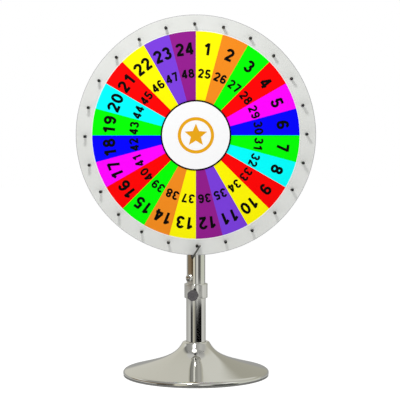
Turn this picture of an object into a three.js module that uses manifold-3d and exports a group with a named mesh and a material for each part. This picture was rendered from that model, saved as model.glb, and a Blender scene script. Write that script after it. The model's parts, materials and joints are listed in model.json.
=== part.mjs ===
// Tabletop prize wheel: a 24 inch board with 24 pegs, turning on two ball bearings
// at the head of a telescopic chrome mast, with a clicker, a clamp and a trumpet base.
// Millimetres, +Z up. The mast stands on the Z axis, the floor is z = 0 and the
// wheel faces -Y.

import * as THREE from 'three';
import { mergeVertices } from 'three/addons/utils/BufferGeometryUtils.js';
import Module from 'manifold-3d';

const wasm = await Module();
wasm.setup();

// ---------------------------------------------------------------- driving dimensions

const gap = 0.3;               // between pieces that touch
const farAway = 400;           // length of a cutter that passes right through

const wheelHeight = 621;       // wheel centre above the floor
const boardRadius = 304.8;     // 24 inch board
const boardThickness = 12;
const boardFrontY = -54.5;
const sheetRadius = 265.5;
const sheetThickness = 0.8;
const centreDiscRadius = 87.5;
const centreDiscThickness = 1.3;

const pegCount = 24;
const pegCircleRadius = 280;
const pegRadius = 4;
const pegShankRadius = 3;
const pegTipY = -80;
const pegPhase = THREE.MathUtils.degToRad(0.6);  // the pegs stand this far round from the printed lines

const mastRadius = 24;
const mastWall = 1.5;
const mastBottomZ = 85;
const mastTopZ = 664;

const tubeRadius = 25.4;       // 2 inch lower tube
const tubeWall = 1;
const tubeBottomZ = 24.3;
const tubeTopZ = 236.5;

const collarRadius = 30.2;
const collarBottomZ = 201;
const collarTopZ = 238;

const baseRadius = 189;
const neckTopZ = 87;
const shellThickness = 1.6;
const rimBottomZ = 5.4;
const footHeight = 5;
const footInnerRadius = 177;
const footOuterRadius = 188;

const ballastRadius = 158;
const ballastBottomZ = 7.5;
const ballastTopZ = 24;

const clampAzimuth = THREE.MathUtils.degToRad(8.5);  // the clamp points forward and this far to the left
const clampZ = 212.5;
const clampScrewRadius = 4;
const knobFaceDistance = 60;                         // knob face from the mast axis

const stopAzimuth = THREE.MathUtils.degToRad(45);
const stopZ = 253.5;

const axleRadius = 5;
const bearingBore = 5.2;
const bearingRadius = 13;
const bearingWidth = 8;

const flapperRootX = -8.5;
const flapperRootZ = 311.6;
const flapperLean = THREE.MathUtils.degToRad(33);    // to the right of upright
const flapperLength = 36.5;
const flapperBackY = -61;
const flapperFrontY = -75;

// ---------------------------------------------------------------- derived places

const boardBackY = boardFrontY + boardThickness;
const sheetFrontY = boardFrontY - gap - sheetThickness;
const frontBearingY = boardFrontY + 4.8;                       // front face
const frontBearingBackY = frontBearingY + bearingWidth;
const rearBearingY = frontBearingBackY + 3.4;
const rearBearingBackY = rearBearingY + bearingWidth;

// ---------------------------------------------------------------- solids

// A closed three.js geometry as a Manifold, with its faces pointing out.
function asSolid(geometry) {
  const bare = geometry.clone();
  bare.deleteAttribute('normal');
  bare.deleteAttribute('uv');
  const merged = mergeVertices(bare, 1e-4);
  const points = merged.attributes.position;
  const corners = [new THREE.Vector3(), new THREE.Vector3(), new THREE.Vector3()];
  const triangles = [];
  let volume = 0;
  for (let i = 0; i < merged.index.count; i += 3) {
    const [a, b, c] = [0, 1, 2].map((k) => merged.index.getX(i + k));
    if (a === b || b === c || c === a) continue;
    triangles.push([a, b, c]);
    corners[0].fromBufferAttribute(points, a);
    corners[1].fromBufferAttribute(points, b);
    corners[2].fromBufferAttribute(points, c);
    volume += corners[0].dot(corners[1].clone().cross(corners[2]));
  }
  const facingOut = volume > 0 ? triangles : triangles.map(([a, b, c]) => [a, c, b]);
  return new wasm.Manifold(new wasm.Mesh({
    numProp: 3,
    vertProperties: new Float32Array(points.array),
    triVerts: new Uint32Array(facingOut.flat()),
  }));
}

function asGeometry(solid) {
  const mesh = solid.getMesh();
  const geometry = new THREE.BufferGeometry();
  geometry.setAttribute('position', new THREE.BufferAttribute(mesh.vertProperties, 3));
  geometry.setIndex(new THREE.BufferAttribute(mesh.triVerts, 1));
  const flat = geometry.toNonIndexed();
  flat.computeVertexNormals();
  return flat;
}

function cut(solid, ...cutters) {
  return cutters.reduce((rest, cutter) => rest.subtract(cutter), solid);
}

function join(solid, ...others) {
  return others.reduce((sum, other) => sum.add(other), solid);
}

// Turned geometry about +Y from [radius, y] pairs; the outline starts and ends on
// the axis, or closes on itself.
function turnedY(outline, segments) {
  const points = outline.map(([radius, y]) => new THREE.Vector2(radius, y));
  const closesOnAxis = points[0].x === 0 && points.at(-1).x === 0;
  if (!closesOnAxis) points.push(points[0].clone());
  return new THREE.LatheGeometry(points, segments);
}

// The same about +Z, from [radius, z] pairs.
function turnedZ(outline, segments) {
  return turnedY(outline, segments).rotateX(Math.PI / 2);
}

// Outline of a plain rod or, with an inner radius, of a ring.
function rodOutline(radius, from, to) {
  return [[0, from], [radius, from], [radius, to], [0, to]];
}

function ringOutline(inner, outer, from, to) {
  return [[inner, from], [outer, from], [outer, to], [inner, to]];
}

const rodY = (radius, from, to, segments) => asSolid(turnedY(rodOutline(radius, from, to), segments));
const ringY = (inner, outer, from, to, segments) =>
  asSolid(turnedY(ringOutline(inner, outer, from, to), segments));
const rodZ = (radius, from, to, segments) => asSolid(turnedZ(rodOutline(radius, from, to), segments));

// A hexagonal prism along +Y, measured across its flats.
function hexY(acrossFlats, from, to) {
  return rodY(acrossFlats / 2 / Math.cos(Math.PI / 6), from, to, 6);
}

// Moves geometry modelled along +Z, with z as the distance from the mast axis, to
// point forward and to the left by an azimuth, at a height.
function pointForward(geometry, azimuth, height) {
  return geometry
    .clone()
    .rotateX(Math.PI / 2)
    .rotateZ(-azimuth)
    .translate(0, 0, height);
}

const mastBody = (radius) => rodZ(radius, -farAway, 2 * farAway, 48);

// ---------------------------------------------------------------- scene graph

const finishes = {
  chrome: { color: 0xb8b6a8, roughness: 0.08, metalness: 1 },
  steel: { color: 0x9a9a98, roughness: 0.3, metalness: 1 },
  castIron: { color: 0x3a3a3c, roughness: 0.7, metalness: 0.6 },
  rubber: { color: 0x16161a, roughness: 0.8, metalness: 0 },
  blackPlastic: { color: 0x3c3a3d, roughness: 0.5, metalness: 0 },
  whiteBoard: { color: 0xdcddd8, roughness: 0.4, metalness: 0 },
  printedSheet: { color: 0xfff500, roughness: 0.3, metalness: 0 },
  centreSheet: { color: 0xfbfbfb, roughness: 0.3, metalness: 0 },
};

const prizeWheel = new THREE.Group();

function addPart(parent, name, solid, finish) {
  const mesh = new THREE.Mesh(asGeometry(solid), new THREE.MeshStandardMaterial(finishes[finish]));
  mesh.name = name;
  parent.add(mesh);
  return mesh;
}

const stand = new THREE.Group();
const mast = new THREE.Group();
const wheel = new THREE.Group();
wheel.position.set(0, 0, wheelHeight);
mast.add(wheel);
prizeWheel.add(stand, mast);

// ---------------------------------------------------------------- base

// The bell's outer line, from the neck down to the rim, as [radius, z] pairs.
function bellLine() {
  const at = (radius, z) => new THREE.Vector2(radius, z);
  const neckEnd = at(36.5, 82.3);
  const rimStart = at(182, 15);
  const neck = new THREE.QuadraticBezierCurve(at(30.5, neckTopZ), at(34, neckTopZ), neckEnd);
  const bell = new THREE.CubicBezierCurve(neckEnd, at(53.3, 50.8), at(86, 40), rimStart);
  const rim = new THREE.QuadraticBezierCurve(rimStart, at(baseRadius - 0.5, 13.2), at(baseRadius, 8.5));
  const points = [...neck.getPoints(2), ...bell.getPoints(7).slice(1), ...rim.getPoints(2).slice(1)];
  return points.map((point) => [point.x, point.y]);
}

// The same line moved inwards by the shell's thickness.
function insideLine(line, thickness) {
  return line.map(([radius, z], i) => {
    const [beforeRadius, beforeZ] = line[Math.max(i - 1, 0)];
    const [afterRadius, afterZ] = line[Math.min(i + 1, line.length - 1)];
    const along = new THREE.Vector2(afterRadius - beforeRadius, afterZ - beforeZ).normalize();
    return [radius + along.y * thickness, z - along.x * thickness];
  });
}

function baseShell() {
  const outside = bellLine();
  const inside = insideLine(outside, shellThickness).reverse();
  const neckBore = tubeRadius + 0.5;
  const outline = [
    [neckBore, neckTopZ],
    ...outside,
    [baseRadius, rimBottomZ],
    [baseRadius - shellThickness, rimBottomZ],
    ...inside,
    [neckBore, neckTopZ - shellThickness],
  ];
  return asSolid(turnedZ(outline, 44));
}

// A flat ring with a lip that stands up inside the shell's rim.
function footRing() {
  const lipTopZ = 9;
  const lipOuterRadius = baseRadius - shellThickness - 0.8;
  const lipInnerRadius = lipOuterRadius - 4.1;
  return asSolid(turnedZ([
    [footInnerRadius, 0],
    [footOuterRadius, 0],
    [footOuterRadius, footHeight],
    [lipOuterRadius, footHeight],
    [lipOuterRadius, lipTopZ],
    [lipInnerRadius, lipTopZ],
    [lipInnerRadius - 1.5, footHeight],
    [footInnerRadius, footHeight],
  ], 44));
}

const boltRadius = 5;
const boltHole = boltRadius + 0.5;
const boltHeadTopZ = 4.6;

// A cast disc that follows the underside of the bell.
function ballastDisc() {
  return asSolid(turnedZ([
    [boltHole, ballastBottomZ],
    [ballastRadius, ballastBottomZ],
    [ballastRadius, 12],
    [122, 18],
    [104, ballastTopZ],
    [boltHole, ballastTopZ],
  ], 28));
}

function baseWasher() {
  const radius = 20;
  return asSolid(turnedZ(ringOutline(boltHole, radius, boltHeadTopZ + gap, ballastBottomZ - gap), 24));
}

function baseBolt() {
  const headFlats = 17;
  const headBottomZ = 0.8;
  const boltTopZ = 44;
  const head = hexY(headFlats, headBottomZ, boltHeadTopZ).rotate([90, 0, 0]);
  return join(head, rodZ(boltRadius, boltHeadTopZ - 0.6, boltTopZ, 20));
}

// A nut plate inside the tube, which the bolt pulls down.
function tubePlug() {
  const radius = tubeRadius - tubeWall - 0.4;
  const bottomZ = 26;
  const topZ = 40;
  return asSolid(turnedZ(ringOutline(boltHole, radius, bottomZ, topZ), 24));
}

addPart(stand, 'base_shell', baseShell(), 'chrome');
addPart(stand, 'foot_ring', footRing(), 'rubber');
addPart(stand, 'ballast_disc', ballastDisc(), 'castIron');
addPart(stand, 'base_washer', baseWasher(), 'steel');
addPart(stand, 'base_bolt', baseBolt(), 'steel');
addPart(stand, 'tube_plug', tubePlug(), 'steel');

// ---------------------------------------------------------------- lower tube and clamp

// A rod along the clamp's axis, between two distances from the mast axis.
function clampRod(radius, from, to, segments) {
  return asSolid(pointForward(turnedZ(rodOutline(radius, from, to), segments), clampAzimuth, clampZ));
}

function lowerTube() {
  const outline = ringOutline(tubeRadius - tubeWall, tubeRadius, tubeBottomZ, tubeTopZ);
  return cut(asSolid(turnedZ(outline, 36)), clampRod(clampScrewRadius + 0.4, 20, 30, 16));
}

function clampCollar() {
  const edge = 1.2;
  const bore = tubeRadius + 0.4;
  const lipBore = mastRadius + 0.5;
  const lipZ = tubeTopZ + gap;
  const ring = asSolid(turnedZ([
    [bore, collarBottomZ],
    [collarRadius - edge, collarBottomZ],
    [collarRadius, collarBottomZ + edge],
    [collarRadius, collarTopZ - edge],
    [collarRadius - edge, collarTopZ],
    [lipBore, collarTopZ],
    [lipBore, lipZ],
    [bore, lipZ],
  ], 36));
  const bossRadius = 9;
  const bossEnd = 38;
  const boss = clampRod(bossRadius, 28, bossEnd, 24);
  return cut(join(ring, boss), clampRod(clampScrewRadius + 0.3, 20, bossEnd + 5, 20));
}

function clampPad() {
  return clampRod(clampScrewRadius - 0.3, mastRadius + 0.4, 27.2, 16);
}

const screwTip = 27.5;
const screwEnd = knobFaceDistance - 4.5;

function clampScrew() {
  return clampRod(clampScrewRadius, screwTip, screwEnd, 16);
}

// A lobed hand knob with a short neck and a blind hole for its screw.
function clampKnob() {
  const lobes = 7;
  const meanRadius = 12.3;
  const lobeHeight = 0.9;
  const bevel = 1.5;
  const bevelInset = 0.5;
  const neckFrom = 40;
  const bodyFrom = 45;
  const points = [];
  for (let i = 0; i < lobes * 6; i += 1) {
    const angle = (i / (lobes * 6)) * 2 * Math.PI;
    const radius = meanRadius + lobeHeight * Math.cos(lobes * angle);
    points.push(new THREE.Vector2(radius * Math.cos(angle), radius * Math.sin(angle)));
  }
  const body = new THREE.ExtrudeGeometry(new THREE.Shape(points), {
    depth: knobFaceDistance - bodyFrom - 2 * bevel,
    bevelEnabled: true,
    bevelThickness: bevel,
    bevelSize: bevel,
    bevelOffset: -bevelInset,
    bevelSegments: 1,
  }).translate(0, 0, bodyFrom + bevel);
  const bodySolid = asSolid(pointForward(body, clampAzimuth, clampZ));
  const neck = clampRod(7.5, neckFrom, bodyFrom + 1, 24);
  return cut(join(bodySolid, neck), clampRod(clampScrewRadius + 0.3, neckFrom - 1, screwEnd + 0.5, 16));
}

addPart(stand, 'lower_tube', lowerTube(), 'chrome');
addPart(stand, 'clamp_collar', clampCollar(), 'chrome');
addPart(stand, 'clamp_pad', clampPad(), 'blackPlastic');
addPart(stand, 'clamp_screw', clampScrew(), 'steel');
addPart(stand, 'clamp_knob', clampKnob(), 'blackPlastic');

// ---------------------------------------------------------------- mast

const stopShankRadius = 3;
const postRadius = 2.5;

function atFlapperRoot(solid) {
  return solid.translate([flapperRootX, 0, flapperRootZ]);
}

function mastTube() {
  const wall = asSolid(turnedZ(ringOutline(mastRadius - mastWall, mastRadius, mastBottomZ, mastTopZ), 36));
  const axleHole = rodY(axleRadius + 0.4, -30, 30, 20).translate([0, 0, wheelHeight]);
  const postHole = atFlapperRoot(rodY(postRadius + 0.3, -30, -10, 16));
  const stopHole = pointForward(turnedZ(rodOutline(stopShankRadius + 0.3, 15, 30), 16), stopAzimuth, stopZ);
  return cut(wall, axleHole, postHole, asSolid(stopHole));
}

// A quarter of an ellipse, from a side at the given radius up to the axis.
function domeOutline(radius, base, height) {
  const steps = 5;
  const outline = [];
  for (let i = 0; i < steps; i += 1) {
    const angle = (i / steps) * Math.PI / 2;
    outline.push([radius * Math.cos(angle), base + height * Math.sin(angle)]);
  }
  return [...outline, [0, base + height]];
}

// An end plug: a flange over the tube's end and a spigot inside it.
function tubeEnd(endZ, outwards) {
  const spigotLength = 12;
  const flange = 4;
  const chamfer = 1.5;
  const inside = mastRadius - mastWall - gap;
  return asSolid(turnedZ([
    [0, endZ - spigotLength * outwards],
    [inside, endZ - spigotLength * outwards],
    [inside, endZ + gap * outwards],
    [mastRadius, endZ + gap * outwards],
    [mastRadius, endZ + (flange - chamfer) * outwards],
    [mastRadius - chamfer, endZ + flange * outwards],
    [0, endZ + flange * outwards],
  ], 28));
}

// A domed screw head with one upright slot, seated on the mast's curved wall.
function stopScrew() {
  const headRadius = 10;
  const seat = 22;
  const edge = 26;
  const top = 30.5;
  const slotWidth = 2.4;
  const slotDepth = 2.5;
  const onMast = (geometry) => asSolid(pointForward(geometry, stopAzimuth, stopZ));
  const outline = [[0, seat], [headRadius, seat], ...domeOutline(headRadius, edge, top - edge)];
  const head = cut(onMast(turnedZ(outline, 24)), mastBody(mastRadius + gap));
  const shank = onMast(turnedZ(rodOutline(stopShankRadius, 17, edge), 16));
  const slot = onMast(new THREE.BoxGeometry(slotWidth, farAway, 2 * slotDepth).translate(0, 0, top));
  return cut(join(head, shank), slot);
}

// A round saddle washer between the mast's curved wall and a flat face.
function saddle(flatY) {
  const radius = 9;
  const insideMast = 19;
  const block = ringY(bearingBore, radius, flatY, Math.sign(flatY) * insideMast, 20);
  return cut(block, mastBody(mastRadius + gap)).translate([0, 0, wheelHeight]);
}

addPart(mast, 'mast_tube', mastTube(), 'chrome');
addPart(mast, 'mast_cap', tubeEnd(mastTopZ, 1), 'blackPlastic');
addPart(mast, 'mast_foot_plug', tubeEnd(mastBottomZ, -1), 'blackPlastic');
addPart(mast, 'stop_screw', stopScrew(), 'chrome');
addPart(mast, 'hub_saddle_front', saddle(rearBearingBackY + gap), 'steel');

// ---------------------------------------------------------------- axle and bearings

const rearSaddleY = 29;
const nutY = rearSaddleY + 2.6;
const boltEnd = nutY + 11;
const innerRingRadius = 7.6;
const outerRingBore = 10.3;

function axleBolt() {
  const headRadius = 8.2;
  const headHeight = 3.2;
  const socketFlats = 6;
  const socketDepth = 2.2;
  const headFront = frontBearingY - gap - headHeight;
  const head = rodY(headRadius, headFront, frontBearingY - gap, 24);
  const socket = hexY(socketFlats, headFront - 1, headFront + socketDepth);
  return cut(join(head, rodY(axleRadius, frontBearingY - 1, boltEnd, 20)), socket);
}

function acornNut() {
  const flats = 17;
  const hexEnd = nutY + 7;
  const capRadius = 7.8;
  const capStart = nutY + 3;
  const outline = [[0, capStart], [capRadius, capStart], ...domeOutline(capRadius, hexEnd, capRadius)];
  const cap = asSolid(turnedY(outline, 24));
  return cut(join(hexY(flats, nutY, hexEnd), cap), rodY(bearingBore, nutY - 1, boltEnd + 0.4, 20));
}

function innerRing(frontY) {
  return ringY(bearingBore, innerRingRadius, frontY, frontY + bearingWidth, 20);
}

function outerRing(frontY) {
  return ringY(outerRingBore, bearingRadius, frontY, frontY + bearingWidth, 24);
}

// Between the inner rings.
function bearingSpacer() {
  return ringY(bearingBore, innerRingRadius - 0.4, frontBearingBackY + gap, rearBearingY - gap, 20);
}

function axleWasher() {
  const radius = 10.5;
  return ringY(bearingBore, radius, rearSaddleY + gap, nutY - gap, 20);
}

const atHub = (solid) => solid.translate([0, 0, wheelHeight]);

addPart(mast, 'axle_bolt', atHub(axleBolt()), 'steel');
addPart(mast, 'bearing_front_inner', atHub(innerRing(frontBearingY)), 'steel');
addPart(mast, 'bearing_spacer', atHub(bearingSpacer()), 'steel');
addPart(mast, 'bearing_rear_inner', atHub(innerRing(rearBearingY)), 'steel');
addPart(mast, 'hub_saddle_rear', saddle(rearSaddleY), 'steel');
addPart(mast, 'axle_washer', atHub(axleWasher()), 'steel');
addPart(mast, 'axle_nut', atHub(acornNut()), 'chrome');

// ---------------------------------------------------------------- clicker

const pinRadius = 1.3;
const beadRadius = 3;

function flapperPost() {
  const shoulderY = flapperBackY + 0.5;
  const footRadius = 5;
  const post = join(
    rodY(postRadius, shoulderY, -17, 20),
    rodY(pinRadius, flapperFrontY - 2.8, shoulderY + 1, 16),
  );
  const foot = atFlapperRoot(rodY(footRadius, -27.5, -15, 24));
  return join(atFlapperRoot(post), cut(foot, mastBody(mastRadius + gap)));
}

// A strip that tapers from a round eye on the post to a rounded tip.
function flapperStrip() {
  const rootThickness = 4.2;
  const tipThickness = 3.2;
  const blade = new THREE.Shape();
  blade.moveTo(rootThickness / 2, 0);
  blade.lineTo(tipThickness / 2, flapperLength - tipThickness / 2);
  blade.absarc(0, flapperLength - tipThickness / 2, tipThickness / 2, 0, Math.PI, false);
  blade.lineTo(-rootThickness / 2, 0);
  const width = flapperBackY - flapperFrontY;
  const bladeSolid = asSolid(
    new THREE.ExtrudeGeometry(blade, { depth: width, bevelEnabled: false, curveSegments: 6 })
      .rotateX(Math.PI / 2)
      .translate(0, flapperBackY, 0)
      .rotateY(flapperLean),
  );
  const bead = rodY(beadRadius, flapperFrontY, flapperBackY, 20);
  const eye = rodY(pinRadius + 0.35, flapperFrontY - 1, flapperBackY + 1, 16);
  return atFlapperRoot(cut(join(bladeSolid, bead), eye));
}

function flapperCap() {
  const front = flapperFrontY - 4.5;
  const cap = asSolid(turnedY([
    [0, front],
    [beadRadius - 1, front],
    [beadRadius, front + 1],
    [beadRadius, flapperFrontY - gap],
    [0, flapperFrontY - gap],
  ], 20));
  return atFlapperRoot(cut(cap, rodY(pinRadius + 0.35, flapperFrontY - 3.1, flapperFrontY + 1, 16)));
}

addPart(mast, 'flapper_post', flapperPost(), 'blackPlastic');
addPart(mast, 'flapper_strip', flapperStrip(), 'blackPlastic');
addPart(mast, 'flapper_cap', flapperCap(), 'blackPlastic');

// ---------------------------------------------------------------- wheel

const hubBossRadius = 18;
const hubFlangeRadius = 46;
const hubFlangeBackY = boardBackY + gap + 4;
const hubBackY = rearBearingBackY - 0.1;
const hubScrewCircle = 33;
const hubScrewCount = 4;
const hubScrewRadius = 2.5;
const hubScrewFrontY = boardFrontY + 3;

const fullTurn = 2 * Math.PI;
const screwAngles = Array.from({ length: hubScrewCount }, (_, i) => ((i + 0.5) / hubScrewCount) * fullTurn);
const pegAngles = Array.from({ length: pegCount }, (_, i) => (i / pegCount) * fullTurn - pegPhase);

// Clockwise from the top, as the players see it.
function onCircle(solid, radius, angle) {
  return solid.translate([radius * Math.sin(angle), 0, radius * Math.cos(angle)]);
}

function board() {
  const edge = 1;
  const bore = hubBossRadius + 0.6;
  const disc = asSolid(turnedY([
    [bore, boardFrontY],
    [boardRadius - edge, boardFrontY],
    [boardRadius, boardFrontY + edge],
    [boardRadius, boardBackY - edge],
    [boardRadius - edge, boardBackY],
    [bore, boardBackY],
  ], 72));
  const hexCorner = (pegShankRadius + 0.15) / Math.cos(Math.PI / 6);
  const pegHole = rodY(hexCorner, boardFrontY - 1, boardBackY + 1, 6);
  const screwHole = rodY(hubScrewRadius + 0.3, hubScrewFrontY - 0.5, boardBackY + 1, 10);
  return cut(
    disc,
    ...pegAngles.map((angle) => onCircle(pegHole, pegCircleRadius, angle)),
    ...screwAngles.map((angle) => onCircle(screwHole, hubScrewCircle, angle)),
  );
}

// A boss through the board with a flange behind it, bored for the two bearings.
function wheelHub() {
  const frontY = boardFrontY + 0.5;
  const frontBore = 10.5;
  const bearingPocket = bearingRadius + 0.25;
  const flangeFrontY = boardBackY + gap;
  const pocketY = frontBearingY - gap;
  const hub = asSolid(turnedY([
    [frontBore, frontY],
    [hubBossRadius, frontY],
    [hubBossRadius, flangeFrontY],
    [hubFlangeRadius, flangeFrontY],
    [hubFlangeRadius, hubFlangeBackY],
    [hubBossRadius + 1, hubFlangeBackY],
    [hubBossRadius - 1, hubBackY],
    [bearingPocket, hubBackY],
    [bearingPocket, pocketY],
    [frontBore, pocketY],
  ], 28));
  const screwHole = rodY(hubScrewRadius + 0.3, flangeFrontY - 1, hubFlangeBackY + 1, 12);
  return cut(hub, ...screwAngles.map((angle) => onCircle(screwHole, hubScrewCircle, angle)));
}

function hubScrew() {
  const headY = hubFlangeBackY + gap;
  const headRadius = 4.6;
  const headHeight = 3;
  return asSolid(turnedY([
    [0, hubScrewFrontY],
    [hubScrewRadius, hubScrewFrontY],
    [hubScrewRadius, headY],
    [headRadius, headY],
    [headRadius - 0.4, headY + headHeight - 0.8],
    [0, headY + headHeight],
  ], 12));
}

// A round-ended pin on a shank through the board, with a head behind it.
function peg() {
  const shoulderY = boardFrontY - gap;
  const headY = boardBackY + gap;
  const headRadius = 6;
  const headHeight = 2;
  return asSolid(turnedY([
    [0, pegTipY],
    [pegRadius - 1.4, pegTipY + 0.7],
    [pegRadius, pegTipY + 2.8],
    [pegRadius, shoulderY],
    [pegShankRadius, shoulderY],
    [pegShankRadius, headY],
    [headRadius, headY],
    [0, headY + headHeight],
  ], 8));
}

addPart(wheel, 'wheel_board', board(), 'whiteBoard');
addPart(wheel, 'print_sheet', rodY(sheetRadius, sheetFrontY, boardFrontY - gap, 80), 'printedSheet');
addPart(
  wheel,
  'centre_disc',
  rodY(centreDiscRadius, sheetFrontY - gap - centreDiscThickness, sheetFrontY - gap, 48),
  'centreSheet',
);
addPart(wheel, 'wheel_hub', wheelHub(), 'steel');
addPart(wheel, 'bearing_front_outer', outerRing(frontBearingY), 'steel');
addPart(wheel, 'bearing_rear_outer', outerRing(rearBearingY), 'steel');
screwAngles.forEach((angle, i) => {
  addPart(wheel, `hub_screw_${i + 1}`, onCircle(hubScrew(), hubScrewCircle, angle), 'steel');
});
pegAngles.forEach((angle, i) => {
  const number = String(i + 1).padStart(2, '0');
  addPart(wheel, `peg_${number}`, onCircle(peg(), pegCircleRadius, angle), 'steel');
});

export default prizeWheel;
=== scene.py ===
"""Looks for the tabletop prize wheel: chrome stand, white board, printed sheet, pegs and clicker."""

import json
import math

import bmesh
import bpy
from mathutils import Matrix, Vector


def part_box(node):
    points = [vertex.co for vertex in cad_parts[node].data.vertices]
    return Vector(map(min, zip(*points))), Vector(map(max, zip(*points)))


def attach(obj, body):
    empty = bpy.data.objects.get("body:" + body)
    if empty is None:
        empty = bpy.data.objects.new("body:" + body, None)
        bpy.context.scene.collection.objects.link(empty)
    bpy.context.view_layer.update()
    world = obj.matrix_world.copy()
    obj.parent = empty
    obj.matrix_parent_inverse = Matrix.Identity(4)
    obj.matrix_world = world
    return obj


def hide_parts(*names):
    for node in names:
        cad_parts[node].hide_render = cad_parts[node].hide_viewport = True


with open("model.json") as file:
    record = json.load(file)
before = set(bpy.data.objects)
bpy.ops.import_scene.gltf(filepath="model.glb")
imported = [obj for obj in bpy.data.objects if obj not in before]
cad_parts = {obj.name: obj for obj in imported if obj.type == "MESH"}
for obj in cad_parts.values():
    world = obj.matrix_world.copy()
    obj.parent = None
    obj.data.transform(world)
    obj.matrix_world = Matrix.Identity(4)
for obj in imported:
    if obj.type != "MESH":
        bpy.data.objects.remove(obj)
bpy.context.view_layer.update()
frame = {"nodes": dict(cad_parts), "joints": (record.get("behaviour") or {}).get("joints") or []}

MM = 0.001


# ---------------------------------------------------------------- places, from the frame

def centre(node):
    low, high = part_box(node)
    return (low + high) / 2


board_low, board_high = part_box("wheel_board")
WHEEL = Vector((0, 0, (board_low.z + board_high.z) / 2))
BOARD_RADIUS = board_high.x
BOARD_FRONT = board_low.y
BOARD_BACK = board_high.y
SHEET_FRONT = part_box("print_sheet")[0].y
SHEET_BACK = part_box("print_sheet")[1].y
SHEET_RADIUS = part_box("print_sheet")[1].x
DISC_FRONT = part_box("centre_disc")[0].y
DISC_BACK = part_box("centre_disc")[1].y
DISC_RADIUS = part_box("centre_disc")[1].x
PEG_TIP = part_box("peg_01")[0].y
PEG_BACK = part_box("peg_01")[1].y
MAST_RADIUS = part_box("mast_tube")[1].x
MAST_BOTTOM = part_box("mast_tube")[0].z
MAST_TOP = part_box("mast_tube")[1].z
TUBE_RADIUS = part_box("lower_tube")[1].x
TUBE_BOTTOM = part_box("lower_tube")[0].z
TUBE_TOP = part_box("lower_tube")[1].z
COLLAR_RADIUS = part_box("clamp_collar")[1].x
COLLAR_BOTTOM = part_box("clamp_collar")[0].z
COLLAR_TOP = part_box("clamp_collar")[1].z
BASE_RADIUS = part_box("base_shell")[1].x
RIM_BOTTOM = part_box("base_shell")[0].z
NECK_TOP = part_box("base_shell")[1].z
FOOT_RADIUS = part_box("foot_ring")[1].x
FLAPPER_ROOT = centre("flapper_cap")
HUB_LOW, HUB_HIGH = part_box("wheel_hub")

joints = {joint["name"]: joint for joint in frame["joints"]}
CLAMP_AXIS = Vector(joints["clamp_turn"]["axis"]).normalized()
CLAMP_HEIGHT = joints["clamp_turn"]["pos_m"][2]
SECTORS = 24


# ---------------------------------------------------------------- mesh tools

def new_piece(name, vertices, faces, smooth_angle=35):
    mesh = bpy.data.meshes.new(name)
    mesh.from_pydata([tuple(v) for v in vertices], [], faces)
    mesh.validate()
    piece = bpy.data.objects.new(name, mesh)
    bpy.context.scene.collection.objects.link(piece)
    smooth(piece, smooth_angle)
    return piece


def piece_from(work, name):
    """A new piece from finished bmesh work, smooth only across shallow edges."""
    mesh = bpy.data.meshes.new(name)
    work.to_mesh(mesh)
    work.free()
    piece = bpy.data.objects.new(name, mesh)
    bpy.context.scene.collection.objects.link(piece)
    smooth(piece, 20)
    return piece


def smooth(piece, angle=35):
    mesh = piece.data
    mesh.polygons.foreach_set("use_smooth", [True] * len(mesh.polygons))
    mesh.set_sharp_from_angle(angle=math.radians(angle))


def rounded(outline, radius, closed=True, steps=4):
    """The outline with each corner replaced by an arc. A corner can give its own radius as a third value."""
    longest_reach = 0.44        # of a side, so that the arcs at its two ends never meet
    points = []
    count = len(outline)
    for i, corner in enumerate(outline):
        here = Vector(corner[:2])
        own = corner[2] if len(corner) > 2 else radius
        if own == 0 or (not closed and i in (0, count - 1)):
            points.append(here)
            continue
        before = Vector(outline[i - 1][:2]) - here
        after = Vector(outline[(i + 1) % count][:2]) - here
        half = before.angle(after) / 2
        reach = min(own / math.tan(half), before.length * longest_reach, after.length * longest_reach)
        # The extra point on each side keeps the shading of the flats flat.
        brace = 1 + min(0.3, 0.04 * min(before.length, after.length) / reach)
        start = here + before.normalized() * reach
        end = here + after.normalized() * reach
        points.append(here + before.normalized() * reach * brace)
        for k in range(steps + 1):
            t = k / steps
            points.append(start * (1 - t) ** 2 + here * 2 * t * (1 - t) + end * t ** 2)
        points.append(here + after.normalized() * reach * brace)
    return points


def turned(name, outline, segments=96, closed=True, lobes=None):
    """A solid turned about Z from (radius, z) points. lobes(point, angle) can change a point's radius."""
    vertices, rings = [], []
    for point in outline:
        if point[0] < 1e-7:
            rings.append([len(vertices)] * segments)
            vertices.append(Vector((0, 0, point[1])))
            continue
        ring = []
        for k in range(segments):
            angle = 2 * math.pi * k / segments
            radius = lobes(point, angle) if lobes else point[0]
            ring.append(len(vertices))
            vertices.append(Vector((radius * math.cos(angle), radius * math.sin(angle), point[1])))
        rings.append(ring)
    faces = []
    pairs = list(zip(rings, rings[1:]))
    if closed:
        pairs.append((rings[-1], rings[0]))
    for lower, upper in pairs:
        for k in range(segments):
            n = (k + 1) % segments
            face = []
            for index in (lower[k], lower[n], upper[n], upper[k]):
                if index not in face:
                    face.append(index)
            if len(face) > 2:
                faces.append(face)
    piece = new_piece(name, vertices, faces)
    face_out(piece)
    return piece


def face_out(piece):
    work = bmesh.new()
    work.from_mesh(piece.data)
    bmesh.ops.remove_doubles(work, verts=work.verts, dist=1e-7)
    bmesh.ops.recalc_face_normals(work, faces=work.faces)
    work.to_mesh(piece.data)
    work.free()


def place(piece, matrix):
    piece.data.transform(matrix)
    return piece


def facing_front(origin):
    """Turns a piece modelled along +Z so that its +Z points forward, to -Y, at origin."""
    return Matrix.Translation(origin) @ Matrix.Rotation(math.pi / 2, 4, "X")


def facing_back(origin):
    """The same with its +Z pointing to +Y, so that a profile's second value is the piece's own y."""
    return Matrix.Translation(origin) @ Matrix.Rotation(-math.pi / 2, 4, "X")


def along(direction, origin):
    return Matrix.Translation(origin) @ Vector(direction).to_track_quat("Z", "Y").to_matrix().to_4x4()


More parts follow.
